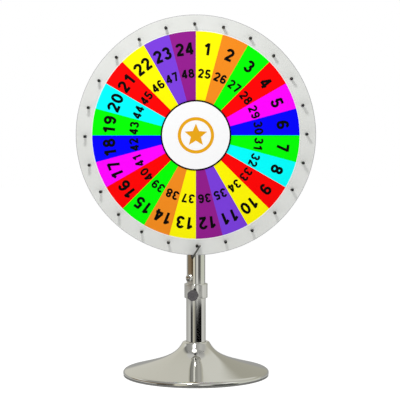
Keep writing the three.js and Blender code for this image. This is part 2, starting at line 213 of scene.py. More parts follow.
def combine(piece, other, operation):
    """Joins or cuts piece with other, and deletes other."""
    modifier = piece.modifiers.new("combine", "BOOLEAN")
    modifier.operation = operation
    modifier.solver = "EXACT"
    modifier.object = other
    bpy.context.view_layer.update()
    evaluated = piece.evaluated_get(bpy.context.evaluated_depsgraph_get())
    mesh = bpy.data.meshes.new_from_object(evaluated)
    piece.modifiers.clear()
    piece.data = mesh
    bpy.data.objects.remove(other)
    smooth(piece)
    return piece


def fit_to_mast(piece, clearance):
    """Cuts away what would stand inside the mast's surface."""
    radius = MAST_RADIUS + clearance
    cutter = turned("cutter", [(0, 0), (radius, 0), (radius, 1), (0, 1)], 128, closed=False)
    combine(piece, cutter, "DIFFERENCE")


def finish_piece(piece, material, body, slot, *nodes):
    """Gives the piece its material and its body, and hides the CAD nodes that it stands for. The slot
    argument is not used.
    """
    piece.data.materials.clear()
    piece.data.materials.append(material)
    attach(piece, body)
    if nodes:
        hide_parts(*nodes)
    return piece


def keep_node(node, material):
    """A CAD node whose shape is right gets its material and smooth shading."""
    piece = frame["nodes"][node]
    piece.data.materials.clear()
    piece.data.materials.append(material)
    smooth(piece, 30)


# ---------------------------------------------------------------- material tools

def new_material(name, color, roughness, metallic=0.0, specular=0.5):
    material = bpy.data.materials.new(name)
    material.use_nodes = True
    shader = material.node_tree.nodes["Principled BSDF"]
    shader.inputs["Base Color"].default_value = (*color, 1)
    shader.inputs["Roughness"].default_value = roughness
    shader.inputs["Metallic"].default_value = metallic
    shader.inputs["Specular IOR Level"].default_value = specular
    return material


def noise(material, scale, detail=3.0, stretch=(1, 1, 1)):
    """A noise pattern fixed to the object, scale in waves per metre."""
    nodes, links = material.node_tree.nodes, material.node_tree.links
    where = nodes.new("ShaderNodeTexCoord")
    mapping = nodes.new("ShaderNodeMapping")
    mapping.inputs["Scale"].default_value = stretch
    pattern = nodes.new("ShaderNodeTexNoise")
    pattern.inputs["Scale"].default_value = scale
    pattern.inputs["Detail"].default_value = detail
    links.new(where.outputs["Object"], mapping.inputs["Vector"])
    links.new(mapping.outputs["Vector"], pattern.inputs["Vector"])
    return pattern.outputs["Fac"]


def vary_roughness(material, pattern, low, high):
    nodes, links = material.node_tree.nodes, material.node_tree.links
    spread = nodes.new("ShaderNodeMapRange")
    spread.inputs["From Min"].default_value = 0.3
    spread.inputs["From Max"].default_value = 0.7
    spread.inputs["To Min"].default_value = low
    spread.inputs["To Max"].default_value = high
    links.new(pattern, spread.inputs["Value"])
    links.new(spread.outputs["Result"], nodes["Principled BSDF"].inputs["Roughness"])


def vary_color(material, pattern, first, second):
    nodes, links = material.node_tree.nodes, material.node_tree.links
    ramp = nodes.new("ShaderNodeValToRGB")
    ramp.color_ramp.elements[0].position = 0.35
    ramp.color_ramp.elements[0].color = (*first, 1)
    ramp.color_ramp.elements[1].position = 0.65
    ramp.color_ramp.elements[1].color = (*second, 1)
    links.new(pattern, ramp.inputs["Fac"])
    links.new(ramp.outputs["Color"], nodes["Principled BSDF"].inputs["Base Color"])


def add_bump(material, pattern, height):
    """Raises the surface by the pattern, height in metres."""
    nodes, links = material.node_tree.nodes, material.node_tree.links
    bump = nodes.new("ShaderNodeBump")
    bump.inputs["Strength"].default_value = 1
    bump.inputs["Distance"].default_value = height
    links.new(pattern, bump.inputs["Height"])
    links.new(bump.outputs["Normal"], nodes["Principled BSDF"].inputs["Normal"])


def srgb(red, green, blue):
    """A screen colour, 0 to 255, as linear values."""
    def linear(value):
        share = value / 255
        return share / 12.92 if value <= 10 else ((share + 0.055) / 1.055) ** 2.4

    return tuple(linear(value) for value in (red, green, blue))


# ---------------------------------------------------------------- materials

def chrome(name, stretch=(1, 1, 1)):
    """Polished plate with faint smears and the slight waviness of drawn or spun metal."""
    material = new_material(name, (0.79, 0.785, 0.75), 0.06, metallic=1)
    vary_roughness(material, noise(material, 60, stretch=stretch), 0.02, 0.07)
    add_bump(material, noise(material, 35, detail=1, stretch=stretch), 0.00006)
    return material


def satin_metal(name, first, second, low, high):
    material = new_material(name, first, low, metallic=1)
    vary_color(material, noise(material, 300), first, second)
    vary_roughness(material, noise(material, 900), low, high)
    add_bump(material, noise(material, 1500), 0.000008)
    return material


def moulded(name, color, low, high, grain=0.00002):
    """Moulded plastic or rubber with a fine spark-eroded grain."""
    material = new_material(name, color, low, specular=0.35)
    darker = tuple(c * 0.85 for c in color)
    vary_color(material, noise(material, 250), darker, color)
    vary_roughness(material, noise(material, 700), low, high)
    add_bump(material, noise(material, 2200), grain)
    return material


def printed(name, color):
    """Ink on a satin sheet: a fine paper grain under an even colour."""
    material = new_material(name, color, 0.5, specular=0.05)
    vary_roughness(material, noise(material, 1800), 0.42, 0.6)
    add_bump(material, noise(material, 2600), 0.000006)
    return material


def laminate():
    """White melamine face with a faint orange peel."""
    material = new_material("white_laminate", (0.74, 0.75, 0.72), 0.4, specular=0.3)
    vary_color(material, noise(material, 14), (0.725, 0.735, 0.705), (0.75, 0.76, 0.735))
    vary_roughness(material, noise(material, 500), 0.32, 0.46)
    add_bump(material, noise(material, 900), 0.00001)
    return material


def cast_iron():
    material = new_material("cast_iron_paint", (0.03, 0.03, 0.032), 0.7, specular=0.3)
    vary_color(material, noise(material, 120), (0.022, 0.022, 0.024), (0.045, 0.044, 0.043))
    add_bump(material, noise(material, 500), 0.0002)
    return material


CHROME = chrome("chrome_spun")
CHROME_TUBE = chrome("chrome_tube", stretch=(1, 1, 0.15))
ZINC = satin_metal("zinc_plate", (0.55, 0.55, 0.53), (0.66, 0.66, 0.63), 0.25, 0.42)
GROUND_STEEL = satin_metal("ground_steel", (0.6, 0.6, 0.62), (0.7, 0.7, 0.72), 0.15, 0.25)
PEG_SHAFT = satin_metal("peg_nickel", (0.36, 0.36, 0.35), (0.46, 0.46, 0.44), 0.22, 0.36)
PEG_TIP_FINISH = satin_metal("peg_black_nickel", (0.035, 0.035, 0.035), (0.06, 0.06, 0.06), 0.2, 0.32)
SATIN_BLACK = satin_metal("satin_black", (0.04, 0.04, 0.04), (0.07, 0.07, 0.07), 0.35, 0.5)
KNOB_PLASTIC = moulded("knob_plastic", srgb(92, 89, 92), 0.42, 0.6)
BLACK_PLASTIC = moulded("black_plastic", (0.025, 0.025, 0.026), 0.4, 0.55)
FOOT_RUBBER = moulded("foot_rubber", (0.22, 0.22, 0.21), 0.6, 0.8, 0.00005)
STRIP_RUBBER = moulded("strip_rubber", srgb(84, 84, 79), 0.55, 0.75, 0.00003)
LAMINATE = laminate()
# Darker grey for the board's rounded edge: painted shade, so that the board's outline reads darker.
PAINTED_EDGE_SHADE = moulded("painted_edge_shade", (0.5, 0.5, 0.51), 0.4, 0.55)
IRON = cast_iron()


# ---------------------------------------------------------------- base

def bezier(start, first, second, end, steps):
    points = []
    for k in range(steps + 1):
        t = k / steps
        points.append(
            Vector(start) * (1 - t) ** 3
            + Vector(first) * 3 * t * (1 - t) ** 2
            + Vector(second) * 3 * t ** 2 * (1 - t)
            + Vector(end) * t ** 3
        )
    return points


def quadratic(start, control, end, steps):
    """The curve with one control point, as the same curve with two."""
    third = 1 / 3
    first = Vector(start) * third + Vector(control) * 2 * third
    second = Vector(end) * third + Vector(control) * 2 * third
    return bezier(start, first, second, end, steps)


def bell_line():
    """The bell's outer line from neck to rim, the same curves as in the CAD shell."""
    neck_end = (36.5 * MM, NECK_TOP - 4.7 * MM)
    rim_start = (BASE_RADIUS - 7 * MM, RIM_BOTTOM + 9.6 * MM)
    rim_side = (BASE_RADIUS, RIM_BOTTOM + 3.1 * MM)
    neck = quadratic((30.5 * MM, NECK_TOP), (34 * MM, NECK_TOP), neck_end, 8)
    bell = bezier(neck_end, (53.3 * MM, 50.8 * MM), (86 * MM, 40 * MM), rim_start, 40)
    rim = quadratic(rim_start, (BASE_RADIUS - 0.5 * MM, RIM_BOTTOM + 7.8 * MM), rim_side, 10)
    return neck + bell[1:] + rim[1:]


def offset_line(line, distance):
    """The line moved to its right-hand side."""
    moved = []
    for i, point in enumerate(line):
        before = line[max(i - 1, 0)]
        after = line[min(i + 1, len(line) - 1)]
        way = (after - before).normalized()
        moved.append(point + Vector((way.y, -way.x)) * distance)
    return moved


def make_bell():
    thickness = 1.6 * MM
    bore = TUBE_RADIUS + 0.5 * MM
    outside = bell_line()
    inside = offset_line(outside, thickness)
    inside.reverse()
    rim = [Vector((BASE_RADIUS, RIM_BOTTOM)), Vector((BASE_RADIUS - thickness, RIM_BOTTOM))]
    outline = [Vector((bore, NECK_TOP))] + outside + rim + inside + [Vector((bore, NECK_TOP - thickness))]
    bell = turned("trumpet_bell", outline, segments=256)
    finish_piece(bell, CHROME, "stand", "chrome", "base_shell")


def make_foot_ring():
    """A flat ring with a lip that stands up inside the bell's rim."""
    height = 5 * MM
    lip_top = 9 * MM
    inner = FOOT_RADIUS - 11 * MM
    lip_outer = FOOT_RADIUS - 1.4 * MM
    lip_inner = FOOT_RADIUS - 5.5 * MM
    outline = rounded([
        (inner, 0),
        (FOOT_RADIUS, 0),
        (FOOT_RADIUS, height),
        (lip_outer, height),
        (lip_outer, lip_top),
        (lip_inner, lip_top),
        (FOOT_RADIUS - 7 * MM, height),
        (inner, height),
    ], 0.6 * MM)
    ring = turned("rubber_foot", outline, segments=192)
    finish_piece(ring, FOOT_RUBBER, "stand", "foot_rubber", "foot_ring")


# ---------------------------------------------------------------- lower tube and clamp

def ring_outline(inner, outer, bottom, top, edge):
    return rounded([(inner, bottom), (outer, bottom), (outer, top), (inner, top)], edge)


def on_clamp_axis(piece):
    """Turns a piece modelled along +Z onto the clamp screw's axis, its z counted from the mast's axis."""
    return place(piece, along(CLAMP_AXIS, (0, 0, CLAMP_HEIGHT)))


def clamp_drill(radius, start, end):
    outline = [(0, start), (radius, start), (radius, end), (0, end)]
    return on_clamp_axis(turned("cutter", outline, 48, closed=False))


def make_lower_tube():
    wall = 1 * MM
    outline = ring_outline(TUBE_RADIUS - wall, TUBE_RADIUS, TUBE_BOTTOM, TUBE_TOP, 0.2 * MM)
    tube = turned("stand_tube", outline, segments=128)
    combine(tube, clamp_drill(4.4 * MM, 20 * MM, 30 * MM), "DIFFERENCE")
    finish_piece(tube, CHROME_TUBE, "stand", "chrome", "lower_tube")


def make_collar():
    """A ring over the tube's end with a boss for the clamp screw."""
    bore = TUBE_RADIUS + 0.4 * MM
    lip_bore = MAST_RADIUS + 0.5 * MM
    lip = TUBE_TOP + 0.3 * MM
    outline = rounded([
        (bore, COLLAR_BOTTOM, 0.3 * MM),
        (COLLAR_RADIUS, COLLAR_BOTTOM, 1.6 * MM),
        (COLLAR_RADIUS, COLLAR_TOP, 2.0 * MM),
        (lip_bore, COLLAR_TOP, 0.4 * MM),
        (lip_bore, lip, 0),
        (bore, lip, 0),
    ], 0.3 * MM, steps=6)
    collar = turned("collar", outline, segments=128)
    boss_radius, boss_root, boss_end = 9 * MM, 28 * MM, 38 * MM
    boss_outline = [(0, boss_root), (boss_radius, boss_root), (boss_radius, boss_end), (0, boss_end)]
    boss = turned("boss", rounded(boss_outline, 1.2 * MM, closed=False), 64, closed=False)
    combine(collar, on_clamp_axis(boss), "UNION")
    combine(collar, clamp_drill(4.3 * MM, 20 * MM, 43 * MM), "DIFFERENCE")
    finish_piece(collar, CHROME, "stand", "chrome", "clamp_collar")


def make_clamp_screw():
    """A screw with its thread cut as fine grooves."""
    tip, root, crest = 2.8 * MM, 3.5 * MM, 4 * MM
    pitch = 1.25 * MM
    start, end = 27.5 * MM, 55.5 * MM
    outline = [Vector((0, start)), Vector((tip, start))]
    for k in range(int((end - start) / pitch) - 1):
        base = start + pitch * (k + 0.7)
        outline.append(Vector((root, base)))
        outline.append(Vector((crest, base + pitch / 2)))
    outline.append(Vector((root, end)))
    outline.append(Vector((0, end)))
    screw = on_clamp_axis(turned("knob_screw", outline, 48, closed=False))
    finish_piece(screw, ZINC, "clamp_knob", "zinc_steel", "clamp_screw")


def make_clamp_knob():
    """A hand knob with seven shallow lobes, a neck behind and a dimple in its face."""
    neck, body, bore_end, face = 40 * MM, 45 * MM, 56 * MM, 60 * MM
    radius, neck_radius, bore = 13.9 * MM, 7.5 * MM, 4.3 * MM
    dimple_floor = face - 1.0 * MM
    lobe_count = 7
    lobe_depth = 0.056          # of the radius
    lobes_from, lobes_full = 9 * MM, 13 * MM

    def lobes(point, angle):
        share = max(0.0, min(1.0, (point[0] - lobes_from) / (lobes_full - lobes_from)))
        scallop = 0.5 - 0.5 * math.cos(lobe_count * angle)
        return point[0] * (1 - lobe_depth * share * scallop ** 1.5)

    outline = rounded([
        (bore, neck, 0.3 * MM),
        (neck_radius, neck, 0.8 * MM),
        (neck_radius, body, 0.8 * MM),
        (radius, body + 0.5 * MM, 1.2 * MM),
        (radius + 0.4 * MM, face - 3 * MM, 2.5 * MM),
        (10.5 * MM, face, 2.0 * MM),
        (5 * MM, face, 0.5 * MM),
        (4.4 * MM, dimple_floor, 0.4 * MM),
        (0, dimple_floor, 0),
        (0, bore_end, 0),
        (bore, bore_end, 0),
    ], 0.4 * MM, steps=5)
    knob = on_clamp_axis(turned("hand_knob", outline, segments=224, lobes=lobes))
    finish_piece(knob, KNOB_PLASTIC, "clamp_knob", "knob_plastic", "clamp_knob")


# ---------------------------------------------------------------- mast

def make_mast():
    wall = 1.5 * MM
    outline = ring_outline(MAST_RADIUS - wall, MAST_RADIUS, MAST_BOTTOM, MAST_TOP, 0.3 * MM)
    tube = turned("mast_tube_polished", outline, segments=128)
    finish_piece(tube, CHROME_TUBE, "mast", "chrome", "mast_tube")


def make_mast_cap():
    """A moulded plug with a flange on the tube's end."""
    low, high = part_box("mast_cap")
    spigot = MAST_RADIUS - 1.8 * MM
    flange_bottom = MAST_TOP + 0.3 * MM
    outline = rounded([
        (0, low.z),
        (spigot, low.z),
        (spigot, flange_bottom),
        (MAST_RADIUS, flange_bottom),
        (MAST_RADIUS, high.z, 2 * MM),
        (0, high.z),
    ], 0.3 * MM, closed=False, steps=6)
    cap = turned("mast_cap_moulded", outline, segments=96, closed=False)
    finish_piece(cap, BLACK_PLASTIC, "mast", "black_plastic", "mast_cap")


def make_stop_screw():
    """A domed, slotted screw seated on the mast's curved wall, modelled outwards from the mast's axis."""
    low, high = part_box("stop_screw")
    stop = (low + high) / 2
    away = Vector((stop.x, stop.y, 0)).normalized()
    height = stop.z
    head_radius = (high.z - low.z) / 2
    seat, edge, top = 20 * MM, 26 * MM, 30.5 * MM
    dome = quadratic((head_radius, edge), (head_radius, top), (0, top), 14)
    outline = [(0, seat), (head_radius, seat)] + [tuple(p) for p in dome]
    head = turned("slotted_stop", outline, 96, closed=False)
    place(head, along(away, (0, 0, height)))
    fit_to_mast(head, 0.1 * MM)
    slot = box_cutter(half_width=1.2 * MM, half_length=20 * MM, bottom=top - 3 * MM, top=top + 3 * MM)
    upright = Matrix.Translation((0, 0, height)) @ upright_frame(away)
    combine(head, place(slot, upright), "DIFFERENCE")
    finish_piece(head, CHROME, "mast", "chrome", "stop_screw")


def box_cutter(half_width, half_length, bottom, top):
    corners = []
    for z in (bottom, top):
        for y in (-half_length, half_length):
            corners += [Vector((-half_width, y, z)), Vector((half_width, y, z))]
    sides = [(0, 2, 3, 1), (4, 5, 7, 6), (0, 1, 5, 4), (2, 6, 7, 3), (0, 4, 6, 2), (1, 3, 7, 5)]
    cutter = new_piece("cutter", corners, sides)
    face_out(cutter)
    return cutter


def upright_frame(away):
    """Axes with +Z along away and +Y straight up."""
    up = Vector((0, 0, 1))
    side = up.cross(away).normalized()
    return Matrix((side, up, away)).transposed().to_4x4()


# ---------------------------------------------------------------- back of the hub

def hexagon(name, flats, start, end):
    corner = flats / 2 / math.cos(math.pi / 6)
    return turned(name, [(0, start), (corner, start), (corner, end), (0, end)], 6, closed=False)


def chamfered_nut(name, flats, height):
    """A hexagon whose corners are turned away at both ends."""
    nut = hexagon(name, flats, 0, height)
    corner = flats / 2 / math.cos(math.pi / 6)
    drop = (corner - flats / 2) * 0.6
    face = flats / 2 * 0.97
    barrel = turned("barrel", [
        (0, 0),
        (face, 0),
        (corner, drop),
        (corner, height - drop),
        (face, height),
        (0, height),
    ], 96, closed=False)
    return combine(nut, barrel, "INTERSECT")


def make_axle_nut():
    """A chamfered hexagon with a dome on it and a blind bore."""
    low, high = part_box("axle_nut")
    hex_height = 7 * MM
    dome_root, dome_radius = 3 * MM, 7.8 * MM
    bore_radius, bore_end = 5.2 * MM, 11.4 * MM
    nut = chamfered_nut("acorn_nut", high.x - low.x, hex_height)
    dome = [(0, dome_root), (dome_radius, dome_root)]
    for k in range(17):
        angle = k / 16 * math.pi / 2
        dome.append((dome_radius * math.cos(angle), hex_height + dome_radius * math.sin(angle)))
    dome[-1] = (0, dome[-1][1])
    combine(nut, turned("dome", dome, 96, closed=False), "UNION")
    bore_outline = [(0, -1 * MM), (bore_radius, -1 * MM), (bore_radius, bore_end), (0, bore_end)]
    combine(nut, turned("bore", bore_outline, 48, closed=False), "DIFFERENCE")
    place(nut, facing_back(Vector((0, low.y, WHEEL.z))))
    finish_piece(nut, CHROME, "mast", "chrome", "axle_nut")


def make_axle_washers():
    """The flat washer, and the saddle that carries the axle on the mast's curved back."""
    bore = 5.2 * MM
    low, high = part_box("axle_washer")
    washer = turned("thrust_washer", ring_outline(bore, high.x, 0, high.y - low.y, 0.4 * MM), 96)
    place(washer, facing_back(Vector((0, low.y, WHEEL.z))))
    finish_piece(washer, ZINC, "mast", "zinc_steel", "axle_washer")

    inside_mast = 19 * MM
    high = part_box("hub_saddle_rear")[1]
    saddle = turned("saddle_washer", ring_outline(bore, high.x, 0, high.y - inside_mast, 0.5 * MM), 96)
    place(saddle, facing_back(Vector((0, inside_mast, WHEEL.z))))
    fit_to_mast(saddle, 0.2 * MM)
    finish_piece(saddle, ZINC, "mast", "zinc_steel", "hub_saddle_rear")


def make_hub():
    """The cast and turned hub, its boss through the board and its flange behind."""
    back = HUB_HIGH.y
    front = HUB_LOW.y
    flange_front = BOARD_BACK + 0.3 * MM
    flange_back = flange_front + 4 * MM
    flange = HUB_HIGH.x
    boss = 18 * MM
    front_bore = 10.5 * MM
    bearing_bore = 13.25 * MM
    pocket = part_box("bearing_front_outer")[0].y - 0.3 * MM
    profile = rounded([
        (front_bore, front),
        (boss, front),
        (boss, flange_front),
        (flange, flange_front),
        (flange, flange_back, 1.2 * MM),
        (boss + 4 * MM, flange_back, 4 * MM),
        (boss - 0.5 * MM, flange_back + 3 * MM, 2 * MM),
        (boss - 1 * MM, back, 0.8 * MM),
        (bearing_bore, back, 0.4 * MM),
        (bearing_bore, pocket, 0),
        (front_bore, pocket, 0),
    ], 0.3 * MM, steps=5)
    hub = turned("hub_flange", profile, 128)
    place(hub, facing_back(WHEEL))
    finish_piece(hub, ZINC, "wheel", "zinc_steel", "wheel_hub")


def make_hub_screws():
    for k in range(4):
        node = f"hub_screw_{k + 1}"
        low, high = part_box(node)
        screw = hex_socket_screw(f"hub_bolt_{k + 1}", (high.x - low.x) / 2, low.y, high.y)
        middle = (low + high) / 2
        place(screw, Matrix.Translation((middle.x, 0, middle.z)))
        finish_piece(screw, ZINC, "wheel", "zinc_steel", node)


def hex_socket_screw(name, head_radius, front, back):
    """A button-head screw along Y, its socket at the back."""
    shank = 2.5 * MM
    seat = back - 3 * MM
    socket_flats, socket_depth = 3 * MM, 1.8 * MM
    dome = quadratic((head_radius, seat + 0.4 * MM), (head_radius * 0.9, back), (0, back), 10)
    outline = [(0, front), (shank, front), (shank, seat), (head_radius, seat)]
    screw = turned(name, outline + [tuple(p) for p in dome], 48, closed=False)
    combine(screw, hexagon("socket", socket_flats, back - socket_depth, back + 1 * MM), "DIFFERENCE")
    return place(screw, facing_back(Vector((0, 0, 0))))


# ---------------------------------------------------------------- clicker

PIN_RADIUS = 1.3 * MM


def make_flapper_post():
    """A post from the mast with a foot, and a pin in front that the strip turns on."""
    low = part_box("flapper_post")[0]
    strip_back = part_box("flapper_strip")[1].y
    radius, foot_radius = 2.5 * MM, 5 * MM
    shoulder = strip_back + 0.5 * MM
    foot_front, inside_mast = -27.5 * MM, -15 * MM
    outline = rounded([
        (0, low.y),
        (PIN_RADIUS, low.y, 0.3 * MM),
        (PIN_RADIUS, shoulder, 0),
        (radius, shoulder, 0.4 * MM),
        (radius, foot_front, 0.8 * MM),
        (foot_radius, foot_front, 0.6 * MM),
        (foot_radius, inside_mast, 0),
        (0, inside_mast),
    ], 0.3 * MM, closed=False)
    post = turned("clicker_post", outline, 64, closed=False)
    place(post, facing_back(Vector((FLAPPER_ROOT.x, 0, FLAPPER_ROOT.z))))
    fit_to_mast(post, -0.3 * MM)
    finish_piece(post, SATIN_BLACK, "mast", "flapper_steel", "flapper_post")


def make_flapper_cap():
    """A push-on cap that keeps the strip on its pin."""
    low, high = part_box("flapper_cap")
    radius = (high.x - low.x) / 2
    bore = PIN_RADIUS + 0.35 * MM
    bore_end = low.y + 1.4 * MM
    outline = rounded([
        (0, low.y),
        (radius, low.y, 1.3 * MM),
        (radius, high.y, 0.3 * MM),
        (bore, high.y, 0),
        (bore, bore_end, 0),
        (0, bore_end),
    ], 0.3 * MM, closed=False, steps=6)
    cap = turned("clicker_cap", outline, 64, closed=False)
    place(cap, facing_back(Vector((FLAPPER_ROOT.x, 0, FLAPPER_ROOT.z))))
    finish_piece(cap, SATIN_BLACK, "mast", "flapper_steel", "flapper_cap")


def make_flapper_strip():
    """A springy strip with a round eye on the pin, thinning towards a rounded tip."""
    low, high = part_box("flapper_strip")
    lean = math.radians(33)
    length = 36.5 * MM
    eye_outer, eye_inner = 3 * MM, 1.65 * MM
    root_half, tip_half = 2.1 * MM, 1.6 * MM
    outline = []
    start = math.asin(root_half / eye_outer)
    for k in range(41):
        angle = start + (2 * math.pi - 2 * start) * k / 40
        outline.append((eye_outer * math.sin(angle), eye_outer * math.cos(angle)))
    tip = length - tip_half
    for k in range(13):
        angle = math.pi * k / 12
        outline.append((-tip_half * math.cos(angle), tip + tip_half * math.sin(angle)))
    strip = prism("clicker_strip", outline, high.y - low.y, bevel=0.25 * MM)
    eye = turned("eye", [(0, -1), (eye_inner, -1), (eye_inner, 1), (0, 1)], 48, closed=False)
    combine(strip, eye, "DIFFERENCE")
    upright = Matrix.Rotation(math.pi / 2, 4, "X")
    turn = Matrix.Rotation(lean, 4, "Y")
    place(strip, Matrix.Translation((FLAPPER_ROOT.x, high.y, FLAPPER_ROOT.z)) @ turn @ upright)
    finish_piece(strip, STRIP_RUBBER, "flapper", "flapper_rubber", "flapper_strip")


def prism(name, outline, depth, bevel=0.0):
    """A straight prism along +Z from (x, y) points, with bevelled rims."""
    work = bmesh.new()
    bottom = [work.verts.new((x, y, 0)) for x, y in outline]
    top = [work.verts.new((x, y, depth)) for x, y in outline]
    work.faces.new(bottom)
    work.faces.new(top)
    for k in range(len(outline)):
        after = (k + 1) % len(outline)
        work.faces.new((bottom[k], bottom[after], top[after], top[k]))
    bmesh.ops.recalc_face_normals(work, faces=work.faces)
    if bevel:
        rims = [e for e in work.edges if abs(e.verts[0].co.z - e.verts[1].co.z) < 1e-9]
        bmesh.ops.bevel(work, geom=rims, offset=bevel, segments=2, affect="EDGES", profile=0.5)
    return piece_from(work, name)


# ---------------------------------------------------------------- board and pegs

def make_board():
    """A laminated disc with painted shade, a darker grey band, round its rounded edge."""
    bore = 18.6 * MM
    edge = 1.6 * MM
    outline = rounded([
        (bore, BOARD_FRONT, 0),
        (BOARD_RADIUS, BOARD_FRONT, edge),
        (BOARD_RADIUS, BOARD_BACK, edge),
        (bore, BOARD_BACK, 0),
    ], edge, steps=6)
    board = turned("laminated_board", outline, segments=360)
    place(board, facing_back(WHEEL))
    finish_piece(board, LAMINATE, "wheel", "white_board", "wheel_board")
    # The rounded edge gets the darker grey: painted shade along the board's outline.
    board.data.materials.append(PAINTED_EDGE_SHADE)
    for polygon in board.data.polygons:
        from_axis = math.hypot(polygon.center.x - WHEEL.x, polygon.center.z - WHEEL.z)
        if from_axis > BOARD_RADIUS - edge:
            polygon.material_index = 1


def peg_outline():
    """A pin with a ball end, a slimmer shaft, a shoulder on the board and a head behind it."""
    ball, shaft, shank, head = 4 * MM, 3.3 * MM, 3 * MM, 6 * MM
    ball_sweep, steps = 135, 8
    shoulder = BOARD_FRONT - 0.3 * MM
    behind = BOARD_BACK + 0.3 * MM
    dome = [(0, PEG_TIP)]
    for k in range(1, steps + 1):
        angle = math.radians(ball_sweep * k / steps)
        dome.append((ball * math.sin(angle), PEG_TIP + ball - ball * math.cos(angle)))
    neck_radius, neck_y = dome[-1]
    body = rounded([
        (neck_radius, neck_y, 0),
        (shaft, neck_y + 0.6 * MM, 0.4 * MM),
        (shaft, shoulder - 1.6 * MM, 0.4 * MM),
        (ball, shoulder - 1.2 * MM, 0.3 * MM),
        (ball, shoulder, 0.2 * MM),
        (shank, shoulder, 0),
        (shank, behind, 0),
        (head, behind, 0.3 * MM),
        (head * 0.8, PEG_BACK - 0.5 * MM, 0.8 * MM),
        (0, PEG_BACK, 0),
    ], 0.3 * MM, closed=False, steps=3)
    return dome[:-1] + [tuple(p) for p in body]


def make_pegs():
    outline = peg_outline()
    dark_end = PEG_TIP + 7.2 * MM
    for k in range(SECTORS):
        node = f"peg_{k + 1:02d}"
        peg = turned(f"rim_peg_{k + 1:02d}", outline, 32, closed=False)
        place(peg, facing_back(Vector((centre(node).x, 0, centre(node).z))))
        finish_piece(peg, PEG_SHAFT, "wheel", "peg_steel", node)
        peg.data.materials.append(PEG_TIP_FINISH)
        for polygon in peg.data.polygons:
            if polygon.center.y < dark_end:
                polygon.material_index = 1


# ---------------------------------------------------------------- printed sheet

SECTOR_COLORS = {
    "yellow": srgb(255, 247, 0),
    "orange": srgb(243, 140, 30),
    "green": srgb(0, 255, 0),
    "red": srgb(255, 0, 0),
    "magenta": srgb(255, 0, 255),
    "blue": srgb(0, 0, 255),
    "cyan": srgb(0, 255, 255),
    "violet": srgb(123, 63, 220),
    "purple": srgb(146, 29, 141),
}
# Clockwise from the top; the wheel goes through the order twice.
SECTOR_ORDER = (
    "yellow", "orange", "green", "red", "magenta", "blue",
    "green", "cyan", "red", "yellow", "violet", "purple",
)


def on_wheel(radius, clockwise, y):
    """A point on the wheel's face, by its angle clockwise from the top."""
    return Vector((WHEEL.x + radius * math.sin(clockwise), y, WHEEL.z + radius * math.cos(clockwise)))


def make_sheet():
    """The round sheet as one closed disc, its front divided into coloured sectors with a white margin."""
    steps = 15
    count = SECTORS * steps
    margin = 2.5 * MM
    colored = SHEET_RADIUS - margin
    bevel = 0.15 * MM
    levels = [
        (colored, SHEET_FRONT),
        (SHEET_RADIUS - bevel, SHEET_FRONT),
        (SHEET_RADIUS, SHEET_FRONT + bevel),
        (SHEET_RADIUS, SHEET_BACK),
    ]
    vertices = [on_wheel(0, 0, SHEET_FRONT)]
    for radius, y in levels:
        vertices += [on_wheel(radius, 2 * math.pi * k / count, y) for k in range(count)]
    faces = [(0, 1 + k, 1 + (k + 1) % count) for k in range(count)]
    for level in range(len(levels) - 1):
        base = 1 + level * count
        for k in range(count):
            n = (k + 1) % count
            faces.append((base + k, base + count + k, base + count + n, base + n))
    last = 1 + (len(levels) - 1) * count
    faces.append(tuple(last + k for k in range(count)))
    sheet = new_piece("printed_sheet", vertices, faces)
    finish_piece(sheet, printed("ink_margin", (0.86, 0.86, 0.84)), "wheel", "printed_sheet", "print_sheet")
    names = list(SECTOR_COLORS)
    for name in names:
        sheet.data.materials.append(printed(f"ink_{name}", SECTOR_COLORS[name]))
    for k in range(count):
        color = SECTOR_ORDER[(k // steps) % len(SECTOR_ORDER)]
        sheet.data.polygons[k].material_index = 1 + names.index(color)
    face_out(sheet)
    smooth(sheet, 20)


# ---------------------------------------------------------------- numerals

# All in units of the digit's height.
DIGIT_WIDTH = 0.68
DIGIT_ADVANCE = 0.79
STROKE = 0.225
INK_DEPTH = 0.006


def line_stroke(x1, y1, x2, y2):
    return [Vector((x1, y1)), Vector((x2, y2))]


def arc_stroke(x, y, rx, ry, start, end):
    """Part of an ellipse, angles in degrees, counter-clockwise from +X."""
    steps = max(6, int(abs(end - start) / 9))
    angles = [math.radians(start + (end - start) * k / steps) for k in range(steps + 1)]
    return [Vector((x + rx * math.cos(a), y + ry * math.sin(a))) for a in angles]


# Plain bold digits one unit high, as the middle lines of their strokes.
DIGITS = {
    "0": [arc_stroke(0.33, 0.5, 0.24, 0.41, 0, 360)],
    "1": [line_stroke(0.40, 0, 0.40, 1), line_stroke(0.42, 0.94, 0.12, 0.70)],
    "2": [
        arc_stroke(0.32, 0.69, 0.235, 0.225, 172, -32) + [Vector((0.17, 0.16))],
        line_stroke(0.04, 0.08, 0.60, 0.08),
        line_stroke(0.30, 0.30, 0.12, 0.06),
    ],
    "3": [
        arc_stroke(0.31, 0.715, 0.21, 0.20, 165, -90),
        arc_stroke(0.31, 0.30, 0.235, 0.215, 90, -168),
    ],
    "4": [
        line_stroke(0.45, 0, 0.45, 1),
        line_stroke(0.44, 0.96, 0.07, 0.28),
        line_stroke(0.02, 0.27, 0.64, 0.27),
    ],
    "5": [
        line_stroke(0.15, 0.915, 0.58, 0.915),
        line_stroke(0.195, 0.97, 0.125, 0.50),
        arc_stroke(0.32, 0.31, 0.235, 0.225, 145, -168),
    ],
    "6": [
        arc_stroke(0.335, 0.30, 0.23, 0.215, 0, 360),
        arc_stroke(0.345, 0.5, 0.24, 0.41, 38, 205),
    ],
    "7": [line_stroke(0.05, 0.915, 0.62, 0.915), line_stroke(0.55, 0.94, 0.26, 0)],
    "8": [
        arc_stroke(0.33, 0.725, 0.195, 0.19, 0, 360),
        arc_stroke(0.33, 0.295, 0.235, 0.21, 0, 360),
    ],
    "9": [
        arc_stroke(0.325, 0.70, 0.23, 0.215, 0, 360),
        arc_stroke(0.315, 0.5, 0.24, 0.41, 218, 385),
    ],
}


